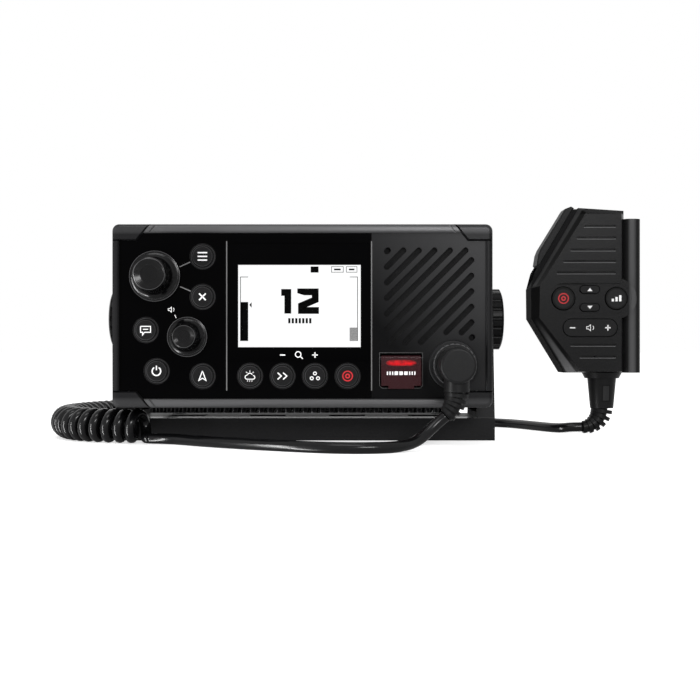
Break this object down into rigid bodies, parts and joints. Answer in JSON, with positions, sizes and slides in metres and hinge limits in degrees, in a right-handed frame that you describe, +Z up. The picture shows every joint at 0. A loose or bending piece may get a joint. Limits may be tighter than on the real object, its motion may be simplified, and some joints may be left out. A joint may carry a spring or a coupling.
{
  "type": "vhf marine radio",
  "caption": "Fixed-mount marine radio in a gimbal bracket, with panel keys, two knobs, a speaker grille, a curly lead and a hand microphone.",
  "frame": {"origin": "middle of the bracket's underside, on the surface it stands on, below the tilt axis", "axes": "+Z up; +X to the right as the user sees the front panel; the panel faces -Y"},
  "size_m": [0.3613, 0.2373, 0.1423],
  "materials": {
    "moulded_black": "satin",
    "gloss_black": "gloss",
    "bracket_black": "fine texture",
    "key_rubber": "matt",
    "key_red": "matt",
    "lens": "clear gloss",
    "display": "lit",
    "housing_paint": "powder coat",
    "seal_rubber": "matt",
    "circuit": "satin",
    "speaker_black": "matt",
    "mesh_metal": "matt",
    "screw_steel": "brushed",
    "nickel": "satin",
    "brass_insert": "machined",
    "red_clear": "clear red",
    "lead_black": "satin",
    "handset_black": "fine texture"
  },
  "bodies": {
    "bracket": {"bracket": "bracket_black", "pivot_washers": "seal_rubber", "cord_curly": "lead_black"},
    "radio": {"front_fascia": "moulded_black", "corner_caps": "moulded_black", "fascia_screws": "screw_steel", "display_window": "lens", "lcd_module": "display", "rear_housing": "housing_paint", "heatsink": "housing_paint", "front_gasket": "seal_rubber", "main_board": "circuit", "front_board": "circuit", "keypad_mat": "seal_rubber", "speaker": "speaker_black", "speaker_mesh": "mesh_metal", "mic_socket": "moulded_black", "antenna_socket": "nickel", "power_gland": "moulded_black", "network_socket": "nickel", "encoders": "nickel", "distress_cover_pin": "screw_steel", "mic_plug": "lead_black", "plug_boot": "lead_black", "pivot_inserts": "brass_insert", "cord_front": "lead_black"},
    "left_clamp": {"left_clamp_knob": "moulded_black"},
    "right_clamp": {"right_clamp_knob": "moulded_black"},
    "channel_plate": {"channel_push_plate": "screw_steel"},
    "channel_dial": {"channel_knob": "moulded_black", "channel_shaft": "nickel"},
    "volume_plate": {"volume_push_plate": "screw_steel"},
    "volume_dial": {"volume_knob": "moulded_black", "volume_shaft": "nickel"},
    "distress_cover": {"distress_cover": "red_clear"},
    "distress_key": {"distress_key": "key_red"},
    "plug_collar": {"plug_collar": "lead_black"},
    "handset": {"handset_front": "handset_black", "handset_back": "handset_black", "handset_board": "circuit", "microphone_capsule": "nickel", "handset_screws": "screw_steel", "hang_button": "nickel", "handset_boot": "lead_black", "cord_rear": "lead_black"},
    "ptt_key": {"ptt_key": "handset_black"},
    "handset_volume_rocker": {"handset_volume_rocker": "key_rubber"},
    "menu_key": {"menu_key": "key_rubber"},
    "cancel_key": {"cancel_key": "key_rubber"},
    "navigation_key": {"navigation_key": "key_rubber"},
    "intercom_key": {"intercom_key": "key_rubber"},
    "power_key": {"power_key": "key_rubber"},
    "weather_key": {"weather_key": "key_rubber"},
    "scan_key": {"scan_key": "key_rubber"},
    "triple_watch_key": {"triple_watch_key": "key_rubber"},
    "calling_channel_key": {"calling_channel_key": "key_rubber"},
    "handset_calling_key": {"handset_calling_key": "key_rubber"},
    "handset_power_level_key": {"handset_power_level_key": "key_rubber"},
    "handset_channel_up_key": {"handset_channel_up_key": "key_rubber"},
    "handset_channel_down_key": {"handset_channel_down_key": "key_rubber"}
  },
  "joints": [
    {"name": "radio_tilt", "type": "hinge", "parent": "bracket", "child": "radio", "pos_m": [0, 0, 0.071], "axis": [1, 0, 0], "range_deg": [-15, 1.5], "deforming": ["cord_front"]},
    {"name": "left_clamp_turn", "type": "hinge", "parent": "bracket", "child": "left_clamp", "pos_m": [-0.115, 0, 0.071], "axis": [-1, 0, 0], "continuous": true},
    {"name": "right_clamp_turn", "type": "hinge", "parent": "bracket", "child": "right_clamp", "pos_m": [0.115, 0, 0.071], "axis": [1, 0, 0], "continuous": true},
    {"name": "channel_push", "type": "slide", "parent": "radio", "child": "channel_plate", "axis": [0, 1, 0], "range_m": [0, 0.0008], "stiffness_N_per_m": 3000, "springref_m": -0.0003},
    {"name": "channel_turn", "type": "hinge", "parent": "channel_plate", "child": "channel_dial", "pos_m": [-0.0798, -0.0655, 0.0924], "axis": [0, 1, 0], "continuous": true},
    {"name": "volume_push", "type": "slide", "parent": "radio", "child": "volume_plate", "axis": [0, 1, 0], "range_m": [0, 0.0008], "stiffness_N_per_m": 3000, "springref_m": -0.0003},
    {"name": "volume_turn", "type": "hinge", "parent": "volume_plate", "child": "volume_dial", "pos_m": [-0.0622, -0.0655, 0.0596], "axis": [0, 1, 0], "continuous": true},
    {"name": "menu_key_press", "type": "slide", "parent": "radio", "child": "menu_key", "axis": [0, 1, 0], "range_m": [0, 0.0007], "stiffness_N_per_m": 2200, "springref_m": -0.0002},
    {"name": "cancel_key_press", "type": "slide", "parent": "radio", "child": "cancel_key", "axis": [0, 1, 0], "range_m": [0, 0.0007], "stiffness_N_per_m": 2200, "springref_m": -0.0002},
    {"name": "navigation_key_press", "type": "slide", "parent": "radio", "child": "navigation_key", "axis": [0, 1, 0], "range_m": [0, 0.0007], "stiffness_N_per_m": 2200, "springref_m": -0.0002},
    {"name": "intercom_key_press", "type": "slide", "parent": "radio", "child": "intercom_key", "axis": [0, 1, 0], "range_m": [0, 0.0007], "stiffness_N_per_m": 2200, "springref_m": -0.0002},
    {"name": "power_key_press", "type": "slide", "parent": "radio", "child": "power_key", "axis": [0, 1, 0], "range_m": [0, 0.0007], "stiffness_N_per_m": 2200, "springref_m": -0.0002},
    {"name": "weather_key_press", "type": "slide", "parent": "radio", "child": "weather_key", "axis": [0, 1, 0], "range_m": [0, 0.0007], "stiffness_N_per_m": 2200, "springref_m": -0.0002},
    {"name": "scan_key_press", "type": "slide", "parent": "radio", "child": "scan_key", "axis": [0, 1, 0], "range_m": [0, 0.0007], "stiffness_N_per_m": 2200, "springref_m": -0.0002},
    {"name": "triple_watch_key_press", "type": "slide", "parent": "radio", "child": "triple_watch_key", "axis": [0, 1, 0], "range_m": [0, 0.0007], "stiffness_N_per_m": 2200, "springref_m": -0.0002},
    {"name": "calling_channel_key_press", "type": "slide", "parent": "radio", "child": "calling_channel_key", "axis": [0, 1, 0], "range_m": [0, 0.0007], "stiffness_N_per_m": 2200, "springref_m": -0.0002},
    {"name": "distress_cover_hinge", "type": "hinge", "parent": "radio", "child": "distress_cover", "pos_m": [0.0535, -0.0672, 0.0481], "axis": [-1, 0, 0], "range_deg": [0, 95], "stiffness_Nm_per_rad": 0.01, "springref_deg": -11.46},
    {"name": "distress_key_press", "type": "slide", "parent": "radio", "child": "distress_key", "axis": [0, 1, 0], "range_m": [0, 0.001], "stiffness_N_per_m": 2200, "springref_m": -0.0002},
    {"name": "plug_collar_turn", "type": "hinge", "parent": "radio", "child": "plug_collar", "pos_m": [0.0818, -0.0745, 0.0444], "axis": [0, 1, 0], "range_deg": [0, 90]},
    {"name": "handset_lift", "type": "slide", "parent": "bracket", "child": "handset", "axis": [0, 0, 1], "range_m": [0, 0.1], "deforming": ["cord_rear"]},
    {"name": "ptt_press", "type": "slide", "parent": "handset", "child": "ptt_key", "axis": [0.8613, 0, -0.5081], "range_m": [0, 0.0015], "stiffness_N_per_m": 2500, "springref_m": -0.0004},
    {"name": "handset_volume_rock", "type": "hinge", "parent": "handset", "child": "handset_volume_rocker", "pos_m": [0.1739, 0.0177, 0.0662], "axis": [0, 0, 1], "range_deg": [-2, 2], "stiffness_Nm_per_rad": 0.8},
    {"name": "handset_calling_key_press", "type": "slide", "parent": "handset", "child": "handset_calling_key", "axis": [0, 1, 0], "range_m": [0, 0.0007], "stiffness_N_per_m": 2200, "springref_m": -0.0002},
    {"name": "handset_power_level_key_press", "type": "slide", "parent": "handset", "child": "handset_power_level_key", "axis": [0, 1, 0], "range_m": [0, 0.0007], "stiffness_N_per_m": 2200, "springref_m": -0.0002},
    {"name": "handset_channel_up_key_press", "type": "slide", "parent": "handset", "child": "handset_channel_up_key", "axis": [0, 1, 0], "range_m": [0, 0.0007], "stiffness_N_per_m": 2200, "springref_m": -0.0002},
    {"name": "handset_channel_down_key_press", "type": "slide", "parent": "handset", "child": "handset_channel_down_key", "axis": [0, 1, 0], "range_m": [0, 0.0007], "stiffness_N_per_m": 2200, "springref_m": -0.0002}
  ]
}
